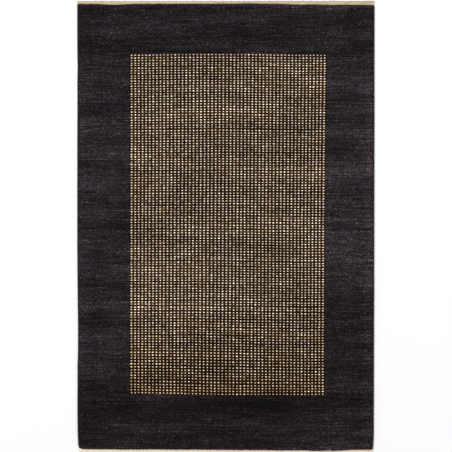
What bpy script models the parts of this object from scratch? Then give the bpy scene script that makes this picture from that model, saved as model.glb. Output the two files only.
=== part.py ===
"""A hand-knotted wool rug lying flat on a floor, as solids in metres with +Z up and +Y towards its head.

The rug is a dark pile mat with an overcast cord along each side. At each end the pile stops at a
narrow flat-woven cotton strip, and the warps leave that strip in short trimmed bundles.
The origin is on the floor, under the middle of the rug.
"""

import math
import random
from collections import namedtuple

import bmesh
import bpy
from mathutils import Vector, noise

# Driving sizes.
RUG_WIDTH = 1.220
RUG_LENGTH = 1.855
PILE_LENGTH = 1.827
PILE_HEIGHT = 0.010
SHOULDER_RADIUS = 0.003
CORD_DIAMETER = 0.0058
CLEARANCE = 0.0003

# The flat-woven end strips and their trimmed warp bundles.
STRIP_EDGE_THICKNESS = 0.0018
STRIP_CROWN_THICKNESS = 0.0025
BUNDLES_AT_EACH_END = 107
BUNDLE_LENGTH = 0.0035
SHORTEST_BUNDLE = 0.70
LONGEST_OTHER_BUNDLE = 0.97
FULL_BUNDLE_EVERY = 12
BUNDLE_TAPER = 0.80
BUNDLE_LEAN = 0.0008
BUNDLE_SHARE_OF_PITCH = 0.66

# The pile's top is never quite level.
SWELL_HEIGHT = 0.0004
SWELL_SPACING = 0.28

# Spacing of the mat's points: even ones along the length, and closer ones towards its edges.
ROW_SPACING = 0.040
EDGE_STEPS = (0.0, 0.001, 0.003, 0.008)
END_STEPS = (0.0, 0.001, 0.003, 0.008, 0.018)

# How far each side draws in, at distances from the foot.
SideRow = namedtuple("SideRow", "from_foot left_in right_in")
SIDES = (
    SideRow(0.000, 0.0098, 0.0058),
    SideRow(0.026, 0.0066, 0.0058),
    SideRow(0.036, 0.0042, 0.0046),
    SideRow(0.060, 0.0026, 0.0028),
    SideRow(0.130, 0.0012, 0.0026),
    SideRow(0.210, 0.0008, 0.0024),
    SideRow(0.290, 0.0016, 0.0022),
    SideRow(0.360, 0.0012, 0.0020),
    SideRow(0.420, 0.0040, 0.0020),
    SideRow(0.460, 0.0030, 0.0017),
    SideRow(0.510, 0.0037, 0.0018),
    SideRow(0.590, 0.0026, 0.0015),
    SideRow(0.670, 0.0017, 0.0012),
    SideRow(0.750, 0.0010, 0.0013),
    SideRow(0.880, 0.0003, 0.0009),
    SideRow(1.080, 0.0003, 0.0007),
    SideRow(1.330, 0.0003, 0.0003),
    SideRow(1.410, 0.0010, 0.0001),
    SideRow(1.490, 0.0005, 0.0002),
    SideRow(1.540, 0.0006, 0.0002),
    SideRow(1.575, 0.0024, 0.0003),
    SideRow(1.610, 0.0008, 0.0003),
    SideRow(1.680, 0.0002, 0.0002),
    SideRow(1.855, 0.0000, 0.0000),
)

# How far the pile stops short of the rug's two ends, at sixteenths of the width from the left.
EndRow = namedtuple("EndRow", "sixteenth head_strip foot_strip")
ENDS = (
    EndRow(0, 0.0125, 0.0178),
    EndRow(1, 0.0139, 0.0162),
    EndRow(2, 0.0158, 0.0164),
    EndRow(3, 0.0137, 0.0154),
    EndRow(4, 0.0128, 0.0158),
    EndRow(5, 0.0127, 0.0152),
    EndRow(6, 0.0117, 0.0158),
    EndRow(7, 0.0121, 0.0144),
    EndRow(8, 0.0121, 0.0137),
    EndRow(9, 0.0115, 0.0137),
    EndRow(10, 0.0129, 0.0131),
    EndRow(11, 0.0129, 0.0121),
    EndRow(12, 0.0160, 0.0127),
    EndRow(13, 0.0154, 0.0111),
    EndRow(14, 0.0166, 0.0107),
    EndRow(15, 0.0168, 0.0141),
    EndRow(16, 0.0176, 0.0143),
)

# Each corner: how round the pile is there, and how far short of the pile's end the side cord stops.
Corner = namedtuple("Corner", "pile_radius cord_short")
CORNERS = {
    ("foot", "left"): Corner(0.0052, 0.0034),
    ("foot", "right"): Corner(0.0015, 0.0010),
    ("head", "left"): Corner(0.0010, 0.0010),
    ("head", "right"): Corner(0.0012, 0.0010),
}

# The cords' tips are rounded off, and no two of a cord's points are closer than this.
CORD_TIP_SHARE = 0.75
CORD_TAPER_LENGTH = 0.006
CLOSEST_CORD_POINTS = 0.0015

CHARCOAL_WOOL = (0.020, 0.016, 0.018, 1.0)
OVERCAST_WOOL = (0.011, 0.010, 0.012, 1.0)
CREAM_COTTON = (0.56, 0.44, 0.30, 1.0)


def clear_scene():
    for old in list(bpy.data.objects):
        bpy.data.objects.remove(old)


def finish_of(name, colour, roughness):
    """A cloth finish: no metal, and rough."""
    material = bpy.data.materials.new(name)
    material.use_nodes = True
    shader = material.node_tree.nodes["Principled BSDF"]
    shader.inputs["Base Color"].default_value = colour
    shader.inputs["Roughness"].default_value = roughness
    shader.inputs["Metallic"].default_value = 0.0
    material.diffuse_color = colour
    return material


def between(rows, place, column):
    """The value of a table's column at a place given in its first column, on straight lines."""
    for low, high in zip(rows, rows[1:]):
        if place <= high[0]:
            break
    share = min(1.0, max(0.0, (place - low[0]) / (high[0] - low[0])))
    return getattr(low, column) * (1.0 - share) + getattr(high, column) * share


def side_x(side, y):
    """The rug's own side at y."""
    inset = between(SIDES, y + RUG_LENGTH / 2, side + "_in")
    return -RUG_WIDTH / 2 + inset if side == "left" else RUG_WIDTH / 2 - inset


def mat_side_x(side, y):
    """The side of the pile mat, just inside the cord."""
    inward = CORD_DIAMETER + CLEARANCE
    return side_x(side, y) + inward if side == "left" else side_x(side, y) - inward


def pile_end_y(end, share):
    """Where the pile stops, at a share of the mat's width from the left."""
    strip = between(ENDS, share * 16, end + "_strip")
    return strip - RUG_LENGTH / 2 if end == "foot" else RUG_LENGTH / 2 - strip


def share_of_width(end, x):
    """x as a share of the mat's width at one end."""
    y = pile_end_y(end, 0.5)
    left, right = mat_side_x("left", y), mat_side_x("right", y)
    return min(1.0, max(0.0, (x - left) / (right - left)))


def rounding(radius, distance):
    """How far a rounded edge falls back at a distance from its end."""
    run = min(radius, max(0.0, distance))
    return radius - math.sqrt(max(0.0, radius**2 - (radius - run) ** 2))


def stations(length, steps, spacing):
    """Distances along a length: close steps at both ends and even spacing between them."""
    inner = length - 2 * steps[-1]
    count = max(1, round(inner / spacing))
    middle = [steps[-1] + inner * i / count for i in range(1, count)]
    return [*steps, *middle, *(length - step for step in reversed(steps))]


def mat_columns():
    """Shares of the width: every sixteenth, as in the table of ends, and close steps at the sides."""
    width = RUG_WIDTH - 2 * (CORD_DIAMETER + CLEARANCE)
    near = [step / width for step in EDGE_STEPS[1:]]
    return sorted([*(i / 16 for i in range(17)), *near, *(1 - share for share in near)])


def mat_rows():
    """Distances from the pile's foot end, on a pile of its usual length."""
    return stations(PILE_LENGTH, END_STEPS, ROW_SPACING)


def pile_y(share, distance):
    """Where a row's distance falls, at a share of the width: rows spread to fit the uneven ends."""
    foot, head = pile_end_y("foot", share), pile_end_y("head", share)
    return foot + (head - foot) * distance / PILE_LENGTH


def rounded_side_x(side, y, distance):
    """The side of the pile mat with its rounded corners."""
    fall = rounding(CORNERS["foot", side].pile_radius, distance)
    fall += rounding(CORNERS["head", side].pile_radius, PILE_LENGTH - distance)
    return mat_side_x(side, y) + (fall if side == "left" else -fall)


def mat_point(share, distance):
    """A point of the pile's top, at a share of the width and a distance from the foot end."""
    y = pile_y(share, distance)
    left, right = rounded_side_x("left", y, distance), rounded_side_x("right", y, distance)
    x = left + (right - left) * share
    to_edge = min(x - left, right - x, distance, PILE_LENGTH - distance)
    swell = SWELL_HEIGHT * noise.noise(Vector((x, y, 0.0)) / SWELL_SPACING)
    return Vector((x, y, PILE_HEIGHT + swell - rounding(SHOULDER_RADIUS, to_edge)))


def new_object(name, mesh, material, collection):
    mesh.materials.append(material)
    made = bpy.data.objects.new(name, mesh)
    collection.objects.link(made)
    return made


def mesh_from(bm, name):
    mesh = bpy.data.meshes.new(name)
    bmesh.ops.recalc_face_normals(bm, faces=bm.faces)
    bm.to_mesh(mesh)
    bm.free()
    return mesh


def pile_mat(material, collection):
    """The knotted pile with its foundation: a flat slab with an uneven outline and soft shoulders."""
    columns = mat_columns()
    rows = mat_rows()
    bm = bmesh.new()
    bmesh.ops.create_grid(bm, x_segments=len(columns) - 1, y_segments=len(rows) - 1, size=0.5)
    for vert in bm.verts:
        column = round((vert.co.x + 0.5) * (len(columns) - 1))
        row = round((vert.co.y + 0.5) * (len(rows) - 1))
        vert.co = mat_point(columns[column], rows[row])
    rim = [edge for edge in bm.edges if edge.is_boundary]
    walls = bmesh.ops.extrude_edge_only(bm, edges=rim)["geom"]
    for vert in walls:
        if isinstance(vert, bmesh.types.BMVert):
            vert.co.z = 0.0
    open_edges = [edge for edge in bm.edges if edge.is_boundary]
    underside = bmesh.ops.contextual_create(bm, geom=open_edges)["faces"]
    bmesh.ops.poke(bm, faces=underside)
    mat = new_object("knotted_pile", mesh_from(bm, "knotted_pile"), material, collection)
    mat.data.shade_smooth()
    mat.data.set_sharp_from_angle(angle=math.radians(40))
    return mat


def mat_side_point(side, distance):
    """A point of the pile mat's outline, on one side."""
    y = pile_y(0.0 if side == "left" else 1.0, distance)
    return Vector((rounded_side_x(side, y, distance), y, 0.0))


def outward_at(side, before, distance, after):
    """The level direction out of the mat's side, square to its outline on both sides of a point."""
    along = Vector((0.0, 0.0, 0.0))
    for one, other in ((before, distance), (distance, after)):
        if other > one:
            along += (mat_side_point(side, other) - mat_side_point(side, one)).normalized()
    across = along.normalized().cross(Vector((0.0, 0.0, 1.0)))
    return -across if side == "left" else across


def side_cord(side, material, collection):
    """The overcast cord along one side: a round bar on the floor that follows the pile's side."""
    radius = CORD_DIAMETER / 2
    foot = CORNERS["foot", side].cord_short
    head = PILE_LENGTH - CORNERS["head", side].cord_short
    nearest, furthest = foot + CLOSEST_CORD_POINTS, head - CLOSEST_CORD_POINTS
    distances = [foot, *(row for row in mat_rows() if nearest < row < furthest), head]
    curve = bpy.data.curves.new(f"side_cord_{side}", "CURVE")
    curve.dimensions = "3D"
    curve.bevel_depth = radius
    curve.bevel_resolution = 2
    curve.use_fill_caps = True
    spline = curve.splines.new("POLY")
    spline.points.add(len(distances) - 1)
    befores, afters = [foot, *distances[:-1]], [*distances[1:], head]
    for point, before, distance, after in zip(spline.points, befores, distances, afters):
        grown = min(1.0, min(distance - foot, head - distance) / CORD_TAPER_LENGTH)
        point.radius = CORD_TIP_SHARE + (1.0 - CORD_TIP_SHARE) * math.sqrt(grown)
        outward = outward_at(side, before, distance, after)
        place = mat_side_point(side, distance) + outward * (radius + CLEARANCE)
        point.co = (place.x, place.y, radius, 1.0)
    cord = bpy.data.objects.new(f"side_cord_{side}", curve)
    curve.materials.append(material)
    collection.objects.link(cord)
    return cord


def loft(bm, rings):
    """Joins rings of points with quads and closes both ends. Returns the quads of each stretch."""
    rows = [[bm.verts.new(point) for point in ring] for ring in rings]
    stretches = []
    for one, other in zip(rows, rows[1:]):
        around = range(len(one))
        quads = [(one[i], other[i], other[i - 1], one[i - 1]) for i in around]
        stretches.append([bm.faces.new(quad) for quad in quads])
    bm.faces.new(rows[0])
    bm.faces.new(list(reversed(rows[-1])))
    return stretches


def strip_ring(end, x):
    """The end strip's section at x: flat underneath, thin at both edges and thicker between them."""
    outward = -1 if end == "foot" else 1
    inner = pile_end_y(end, share_of_width(end, x)) + outward * CLEARANCE
    outer = outward * (RUG_LENGTH / 2 - BUNDLE_LENGTH)
    middle = (inner + outer) / 2
    return [
        (x, outer, 0.0),
        (x, outer, STRIP_EDGE_THICKNESS),
        (x, middle, STRIP_CROWN_THICKNESS),
        (x, inner, STRIP_EDGE_THICKNESS),
        (x, inner, 0.0),
    ]


def end_strip(end, seed, material, collection):
    """A flat-woven strip beyond the pile, with its warps leaving it in short cut bundles."""
    y = (RUG_LENGTH / 2 - BUNDLE_LENGTH) * (-1 if end == "foot" else 1)
    left, right = side_x("left", y), side_x("right", y)
    pitch = (right - left) / BUNDLES_AT_EACH_END
    half_bundle = pitch * BUNDLE_SHARE_OF_PITCH / 2
    places = [left]
    for i in range(BUNDLES_AT_EACH_END):
        centre = left + (i + 0.5) * pitch
        places += [centre - half_bundle, centre + half_bundle]
    places.append(right)
    bm = bmesh.new()
    stretches = loft(bm, [strip_ring(end, x) for x in places])
    roots = [stretch[1] for stretch in stretches[1::2]]
    tips = bmesh.ops.extrude_discrete_faces(bm, faces=roots)["faces"]
    tips.sort(key=lambda face: face.calc_center_median().x)
    rng = random.Random(seed)
    for number, tip in enumerate(tips):
        is_full = number % FULL_BUNDLE_EVERY == FULL_BUNDLE_EVERY // 2
        share = 1.0 if is_full else rng.uniform(SHORTEST_BUNDLE, LONGEST_OTHER_BUNDLE)
        reach = BUNDLE_LENGTH * share
        lean = rng.uniform(-BUNDLE_LEAN, BUNDLE_LEAN)
        centre_x = tip.calc_center_median().x
        for vert in tip.verts:
            vert.co.x = centre_x + (vert.co.x - centre_x) * BUNDLE_TAPER + lean
            vert.co.y += reach * (-1 if end == "foot" else 1)
            vert.co.z *= BUNDLE_TAPER
    name = f"end_strip_{end}"
    return new_object(name, mesh_from(bm, name), material, collection)


def main():
    clear_scene()
    rug = bpy.data.collections.new("hand_knotted_rug")
    bpy.context.scene.collection.children.link(rug)
    charcoal = finish_of("charcoal_wool", CHARCOAL_WOOL, 0.95)
    overcast = finish_of("overcast_wool", OVERCAST_WOOL, 0.9)
    cotton = finish_of("cream_cotton", CREAM_COTTON, 0.9)
    pile_mat(charcoal, rug)
    for side in ("left", "right"):
        side_cord(side, overcast, rug)
    for seed, end in enumerate(("foot", "head")):
        end_strip(end, seed, cotton, rug)


main()
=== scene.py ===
import math
from collections import namedtuple

import bpy
import numpy as np
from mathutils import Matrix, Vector
from mathutils.bvhtree import BVHTree


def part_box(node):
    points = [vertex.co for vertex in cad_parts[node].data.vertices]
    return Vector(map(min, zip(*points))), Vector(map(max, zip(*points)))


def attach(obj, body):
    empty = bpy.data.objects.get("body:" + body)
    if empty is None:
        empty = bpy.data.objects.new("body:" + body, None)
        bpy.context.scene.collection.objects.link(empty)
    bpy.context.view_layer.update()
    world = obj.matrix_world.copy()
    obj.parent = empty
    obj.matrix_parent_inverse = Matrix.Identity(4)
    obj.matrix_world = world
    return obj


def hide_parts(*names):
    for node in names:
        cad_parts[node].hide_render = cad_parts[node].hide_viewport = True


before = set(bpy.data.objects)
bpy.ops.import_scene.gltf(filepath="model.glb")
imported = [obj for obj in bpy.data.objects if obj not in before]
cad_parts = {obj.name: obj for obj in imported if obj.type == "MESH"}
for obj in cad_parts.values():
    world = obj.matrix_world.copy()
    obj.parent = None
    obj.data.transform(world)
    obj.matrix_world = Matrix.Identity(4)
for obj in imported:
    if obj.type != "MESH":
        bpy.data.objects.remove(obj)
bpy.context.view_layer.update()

# The rug as the frame gives it. +Y is its head and the photo's top.
PILE_LOW, PILE_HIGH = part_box("knotted_pile")
FLOOR = 0.0
ON_FLOOR = 0.0005
ABOVE_PILE = 0.01

# The photo: its frame in metres at the floor, and the floor point that it is centred on.
PHOTO_WIDTH = 1.8532
PHOTO_CENTRE = (0.0007, 0.0041)
CAMERA_HEIGHT = 8.0
SENSOR_WIDTH = 36.0
FURTHEST_SEEN = 100.0

# The studio.
SKY_STRENGTH = 0.683
Softbox = namedtuple("Softbox", "name place size power")
SOFTBOXES = (
    Softbox("key_softbox", (-3.2, 3.0, 4.6), 2.4, 250.0),
    Softbox("fill_softbox", (3.6, -1.5, 4.2), 3.0, 75.6),
)
FLOOR_SIZE = 60.0

# The knots. Each dot is a cell of four by four knots, with the light ones in its middle.
CELL = 4
DOT_COLUMNS = 54
DOT_ROWS = 128
KNOTS_BEFORE_FIELD = 57
KNOTS_AFTER_FIELD = 52
ROWS_BEFORE_FIELD = 76
ROWS_AFTER_FIELD = 82
KNOTS_ACROSS = KNOTS_BEFORE_FIELD + CELL * DOT_COLUMNS + KNOTS_AFTER_FIELD
KNOTS_ALONG = ROWS_BEFORE_FIELD + CELL * DOT_ROWS + ROWS_AFTER_FIELD
DOT_MIDDLE = 1.5

# Where the weaver's dots come, in metres from the rug's middle: columns drift along the rug, and
# rows drift across it. Each place is a distance from the middle too.
COLUMN_PLACES = (0.650, 0.273, 0.027, -0.219, -0.465)
ROW_PLACES = (-0.329, -0.145, -0.022, 0.101, 0.310)
DotColumn = namedtuple("DotColumn", "number near_head upper middle lower near_foot")
DOT_COLUMN_X = (
    DotColumn(0, -0.3862, -0.3858, -0.3864, -0.3867, -0.3870),
    DotColumn(9, -0.2532, -0.2529, -0.2543, -0.2542, -0.2552),
    DotColumn(18, -0.1168, -0.1175, -0.1195, -0.1202, -0.1214),
    DotColumn(27, 0.0204, 0.0195, 0.0180, 0.0178, 0.0158),
    DotColumn(36, 0.1541, 0.1525, 0.1508, 0.1510, 0.1499),
    DotColumn(45, 0.2880, 0.2852, 0.2832, 0.2832, 0.2816),
    DotColumn(53, 0.4050, 0.4008, 0.3990, 0.3982, 0.3972),
)
DotRow = namedtuple("DotRow", "number far_left left middle right far_right")
DOT_ROW_Y = (
    DotRow(0, 0.7035, 0.7062, 0.7062, 0.7056, 0.7027),
    DotRow(16, 0.5355, 0.5373, 0.5380, 0.5355, 0.5332),
    DotRow(32, 0.3621, 0.3638, 0.3658, 0.3640, 0.3610),
    DotRow(48, 0.1925, 0.1938, 0.1945, 0.1946, 0.1939),
    DotRow(64, 0.0190, 0.0193, 0.0185, 0.0182, 0.0155),
    DotRow(80, -0.1543, -0.1542, -0.1548, -0.1575, -0.1612),
    DotRow(96, -0.3275, -0.3267, -0.3285, -0.3302, -0.3330),
    DotRow(112, -0.5019, -0.5023, -0.5050, -0.5075, -0.5107),
    DotRow(127, -0.6795, -0.6832, -0.6860, -0.6861, -0.6865),
)

# The pile is split lengthwise for its size, in the dark gaps between dot columns. A band's map is
# folded, so that a long band fills a square.
HALF_FIELD = KNOTS_BEFORE_FIELD + CELL * DOT_COLUMNS // 2
FIELD_END = KNOTS_BEFORE_FIELD + CELL * DOT_COLUMNS
PileBand = namedtuple("PileBand", "name first last folds")
PILE_BANDS = (
    PileBand("pile_left_border", 0, KNOTS_BEFORE_FIELD, 3),
    PileBand("pile_left_field", KNOTS_BEFORE_FIELD, HALF_FIELD, 2),
    PileBand("pile_right_field", HALF_FIELD, FIELD_END, 2),
    PileBand("pile_right_border", FIELD_END, KNOTS_ACROSS - 1, 3),
)

# Each piece's map: the corners of a quad, and the shares of a section or tile that are used.
QUAD_CORNERS = ((0, 0), (0, 1), (1, 1), (1, 0))
FOLD_MARGIN = 0.004
TILE_SHARE = 0.9

# How unevenly the cut tufts stand, and how unevenly the rows were beaten down.
PILE_SEED = 7
BEAT_SEED = 9
KNOT_HEIGHT_SPREAD = 0.00022
KNOT_PLACE_SPREAD = 0.00025
ROW_HEIGHT_SPREAD = 0.00010
ROW_BEAT_SPREAD = 0.00060
LIGHT_KNOT_LIFT = 0.00025
LOWEST_SHARE_OF_PILE = 0.6

# The woven back, a tray whose wall stands up to the edge of the cut pile.
BACK_LIFT = 0.0004
WALL_SHARE_OF_PILE = 0.62

# The overcast cords.
SIDES = ("left", "right")
CORD_SEEDS = {"left": 21, "right": 22}
RING_GAP = 0.0008
WRAP_PITCH = 0.0020
WRAP_STEPS = 3
WRAP_SIDES = 9
WRAP_RELIEF = 0.16
WRAP_BULGE = 1.14
WRAP_SIZE_SPREAD = 0.03
CORD_LIFT = 0.0002
CORD_FOLDS = 12

# The two ends: which way is out along Y, and the seed of each piece's random draws.
End = namedtuple("End", "name outward web_seed warp_seed tuft_seed")
ENDS = (End("head", 1, 32, 42, 52), End("foot", -1, 31, 41, 51))

# The flat-woven ends.
WARP_PITCH = 0.00188
WEFTS = 10
WEB_THICKNESS = 0.0016
WEB_CROWN = 0.0006
WEAVE_RELIEF = 0.00042
WARP_SHARE_OF_RELIEF = 0.6
MEAN_RIDGE = 0.5
WEB_HEIGHT_SPREAD = 0.00006
WEB_EDGE_SPREAD = 0.00012
WEB_EDGE_WAVE = np.ones(5) / 2
WEB_LIFT = 0.0003
WEB_FOLDS = 40
WEB_MAP_LENGTH = 0.99
WEB_MAP_BREADTH = 0.92

# The trimmed warps. Pairs are the least and the most of what chance gives.
BUNDLES = 107
THREADS_IN_BUNDLE = 10
THREAD_RADIUS = 0.00058
THREAD_SPACING = 0.00108
THREAD_STEPS = 6
THREAD_SIDES = 5
THREAD_BODY = 0.0035
THREAD_ROOT = 0.0016
THREAD_ROOT_HEIGHT = 0.0015
THREAD_LIFT = 0.0001
THREAD_SETTLING = 2.2
THREAD_TIP = 0.06
THREAD_TIP_START = 0.95
BUNDLE_LEAN = 0.0006
BUNDLE_LENGTHS = (1.05, 1.45)
BUNDLE_BREADTHS = (0.75, 1.0)
THREAD_LENGTHS = (0.85, 1.15)
THREAD_THICKNESSES = (0.8, 1.15)
THREAD_SWELLS = (0.92, 1.08)
THREAD_PILING = (0, 0.0007)
THREAD_SCATTER = 0.0004
THREAD_WAVE = 0.00015
THREAD_WAVE_TURN = 9
THREAD_WAVE_STARTS = (0, 6)
STRAY_SHARE = 0.14
STRAY_LENGTH = 1.35
PLIES = 2
TURNS_IN_THREAD = 2.6

# The last row of tufts, which leans out over the flat-woven ends.
TUFTS_IN_KNOT = 2
TUFT_SIDES = 6
TUFT_PROFILE = (1.0, 1.06, 1.0, 0.78, 0.10)
TUFT_STEPS = len(TUFT_PROFILE)
TUFT_RADIUS = 0.00155
TUFT_THICKNESSES = (0.8, 1.2)
TUFT_SQUASH = 0.9
TUFT_ROOT = 0.002
TUFT_REACH = 0.0004
TUFT_REACH_DRIFT = 0.0040
TUFT_DRIFT_WINDOW = 25
TUFT_REACH_CHANCE = (-0.0008, 0.0012)
TUFT_REACH_LIMITS = (0.0002, 0.0045)
TUFT_SWAY = 0.0005
TUFT_TOP_SHARE = 0.80
TUFT_TOP_CHANCE = (-0.0008, 0.0004)
TUFT_DROP = 0.0034
TUFT_DROP_OF_REACH = 0.5
TUFT_CURL = 1.6
TUFT_KNOT_BREADTH = 0.6
TUFT_ROWS_OUT = 1.5


def colour(red, green, blue):
    return (red, green, blue, 1.0)


# Colours, as linear light.
CHARCOAL_BLUE = colour(0.0168, 0.0138, 0.0183)
CHARCOAL_BROWN = colour(0.0186, 0.0142, 0.0144)
GREY_FLECK = colour(0.075, 0.066, 0.062)
FIELD_PLUM = colour(0.0190, 0.0108, 0.0070)
FIELD_RUST = colour(0.0245, 0.0108, 0.0026)
FIELD_OLIVE = colour(0.0180, 0.0122, 0.0020)
RUST_HALO = colour(0.085, 0.040, 0.012)
END_BROWN = colour(0.045, 0.026, 0.014)
IVORY = colour(0.99, 0.90, 0.775)
CAMEL = colour(0.69, 0.52, 0.32)
DOT_EDGE = colour(0.40, 0.235, 0.075)
RUST_EDGE = colour(0.34, 0.165, 0.045)
WRAP_DARK = colour(0.020, 0.018, 0.019)
WRAP_PALE = colour(0.056, 0.050, 0.050)
HANDLED_GREY = colour(0.24, 0.19, 0.14)
# Brown where the web meets the pile: partly a stain and partly painted shade.
ROOT_STAIN_AND_SHADE = colour(0.30, 0.19, 0.10)
FLOOR_DULL = colour(0.80, 0.80, 0.80)
FLOOR_BRIGHT = colour(0.82, 0.82, 0.82)
DAYLIGHT = colour(1.0, 1.0, 1.0)

# The foot's cotton is paler than the head's: partly its own colour, and partly painted light that
# makes up for the shade that the pile casts on the foot's strip. The last number is how strongly
# the brown stain and painted shade show beside the pile.
Cotton = namedtuple("Cotton", "name dull bright stain")
COTTONS = {
    "head": Cotton("head_cotton", colour(0.46, 0.355, 0.235), colour(0.76, 0.615, 0.425), 0.15),
    "foot": Cotton("foot_cotton_with_painted_light", colour(0.94, 0.79, 0.62), colour(1.0, 0.94, 0.80), 0.40),
}

# Surfaces. Every fibre is matt with a little sheen, and reliefs are in metres.
FIBRE_GLOSS = 0.03
FIBRE_SHEEN = 0.02
SHEEN_ROUGHNESS = 0.5
WOOL_ROUGHNESS = 0.92
WRAP_ROUGHNESS = 0.85
COTTON_ROUGHNESS = 0.9
FLOOR_ROUGHNESS = 0.9
KNOT_RELIEF = 0.0006
STRAND_RELIEF = 0.0003
# The end row's tufts are darker by this factor: partly their deeper dye, and partly painted shade
# on the sides that they lean out with.
END_ROW_DYE_AND_SHADE = 0.75

# How fine each unevenness is, in waves for each knot, turn or thread.
Grain = namedtuple("Grain", "across along between detail roughness", defaults=(1.0, 2.0, 0.5))
FUZZ = Grain(2.1, 2.1, 2.1, detail=4.0, roughness=0.62)
STREAK = Grain(0.030, 0.55, detail=4.0, roughness=0.65)
BATCH = Grain(0.006, 0.034)
LANE = Grain(0.09, 0.0015)
HUE = Grain(0.07, 0.10)
GREENNESS = Grain(0.07, 0.08)
PALE_HAIR = Grain(0.06, 0.95, detail=1.0)
YARN_LOT = Grain(0.035, 0.055, detail=3.0)
WOOL_FIBRE = Grain(5.0, 6.0, detail=3.0, roughness=0.7)
WRAP_TONE = Grain(0.6, 0.05, detail=3.0)
WRAP_FIBRE = Grain(6.0, 3.0, detail=3.0, roughness=0.65)
COTTON_TONE = Grain(0.05, 0.3, detail=3.0)
COTTON_GRIME = Grain(0.11, 0.9, detail=4.0, roughness=0.7)
COTTON_FIBRE = Grain(3.0, 7.0, 3.0, detail=3.0, roughness=0.7)
FLOOR_MOTTLE = Grain(1.5, 1.5, 1.5, detail=3.0)

# Seeds for what differs from knot to knot, row to row, dot to dot and thread to thread.
MELANGE_SEED = 11.0
ROW_SEED = 13.0
FLECK_SEED = 17.0
GOLD_SEED = 29.0
DOT_SHADE_SEED = 31.0
WRAP_SEED = 3.0
THREAD_SEED = 2.0

# How strongly the dark wool's shade varies, in doublings.
STREAK_SHADE = 6.2
BATCH_SHADE = 3.8
MELANGE_SHADE = 2.6
ROW_SHADE = 0.7
LANE_SHADE = 0.7
WHOLE_SHADE = -0.12

# Where slow changes begin and end, in knots from the left side or rows from the head.
RIGHT_SIDE = (200.0, 300.0)
HEAD_BORDER = (55.0, 105.0)
LOWER_FIELD = (400.0, 480.0)
NEAR_FOOT = (440.0, 600.0)
FOOT_DYE = (555.0, 597.0)
FOOT_BORDER = (560.0, 620.0)
FIRST_ROWS = (-1.0, 4.0)
LAST_ROWS = (KNOTS_ALONG - 5.0, KNOTS_ALONG)

# The border: what those changes do to its shade in doublings, its hue, its flecks and pale hairs.
RIGHT_SIDE_SHADE = 0.15
FOOT_SHADE = -0.55
ENDS_SHADE = -0.22
BORDER_HUES = (0.35, 0.65)
BROWNER = 0.02
BROWNER_NEAR_FOOT = 0.05
BROWNER_AT_RIGHT = 0.02
FLECKS_OVER = 0.983
FLECK_STRENGTH = 0.8
HAIRS = (0.66, 0.80)
HAIR_STRENGTH = 0.58
HAIRIER_AT_RIGHT = 0.25
HAIRIER_NEAR_FOOT = 0.20

# The field's ground between the dots, and the brown that both ends of the pile have.
GROUND_HUES = (0.36, 0.64)
RUSTIER_NEAR_FOOT = 0.10
GREENS = (0.46, 0.64)
GREEN_STRENGTH = 0.75
LESS_GREEN_NEAR_FOOT = 0.40
GROUND_SHADE = 0.15
GROUND_SHADE_LOST_NEAR_FOOT = 0.45
HALO_REACH = (0.0, 0.40)
HALO_STRENGTH = 0.65
END_BROWN_SHARE = 0.5

# Broad patches where a batch of wool took the dye paler (above 0) or darker, in doublings. Knots
# are counted from the left side and rows from the head, and an edge is how far the change spreads.
DyePatch = namedtuple("DyePatch", "first_knot last_knot first_row last_row edge shade")
BORDER_PATCHES = (
    DyePatch(-30, 9, -30, 600, 5, 0.30),
    DyePatch(314, 360, -30, 700, 6, 0.35),
    DyePatch(42, 62, 60, 600, 5, -0.12),
    DyePatch(-30, 24, -30, 70, 14, -0.60),
    DyePatch(292, 360, -30, 70, 14, -0.40),
    DyePatch(262, 360, 455, 590, 30, -0.40),
    DyePatch(-30, 360, 587, 612, 6, -0.24),
    DyePatch(220, 360, 600, 700, 40, 0.65),
    DyePatch(-30, 360, 650, 700, 8, 0.30),
    DyePatch(-30, 360, -30, 5, 4, 0.35),
)
WHOLE_PATCHES = (
    DyePatch(-30, 360, 62, 98, 16, -0.36),
    DyePatch(240, 360, 190, 430, 30, 0.38),
    DyePatch(125, 245, 545, 600, 20, -0.40),
)
FIELD_SHARE_OF_PATCHES = 0.60

# A dot's light patch, in knots from its middle. Each dot slips, slants and swells by chance.
DOT_REACH = 0.675
DOT_REACH_CHANCE = 0.22
DOT_REACH_LOST_NEAR_FOOT = 0.08
DOT_SQUARENESS = 3.0
DOT_BREADTH = 1.07
DOT_HEIGHT = 0.88
DOT_SLIP = 0.30
DOT_SLANT = 0.35
DOT_SOFTNESS = 0.08
DOT_EDGE_REACH = (-0.42, 0.06)
DOT_EDGE_STRENGTH = 0.58
RUST_EDGE_NEAR_FOOT = 0.8

# A dot's yarn: how golden it is, and its shade in doublings.
GOLDS = (0.25, 1.10)
GOLD_CHANCE = 0.5
GOLD_OF_LOT = 1.3
GOLD_OF_ROW = 0.2
GOLD_START = -0.42
GOLD_NEAR_FOOT = 0.30
YARN_SHADE_CHANCE = 0.56
YARN_SHADE_START = -0.09
YARN_SHARE_OF_SHADE = 0.42
YARN_SHADE_NEAR_FOOT = 0.24
YARN_SHADE_IN_LOWER_FIELD = 0.10

# Knots close up: how far they wander into each other, the painted shade in the gaps between them,
# and their fibres.
CUT_WANDER = 0.42
BACK_WANDER = 0.10
KNOT_WANDER = 2.4
KNOT_GAP = (0.32, 0.52)
GAP_SHADE = 0.42
GAP_SHADE_LOST_IN_DOTS = 0.16
KNOT_LIGHTNESS = 1.12
FIBRE_CONTRAST = 0.90
FIBRE_LIGHTNESS = 0.37
DOME_ROUNDNESS = 2.2
CUT_DOME = 0.35
CUT_FIBRE = 0.9
CUT_MELANGE = 0.35

# The turns of wool on the cords.
WRAP_TONES = (0.1, 0.8)
WRAP_TONE_CHANCE = 0.5
WRAP_TONE_DRIFT = 0.9
WRAP_TONE_START = -0.2
WRAP_CONTRAST = 0.98
WRAP_LIGHTNESS = 0.33
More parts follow.
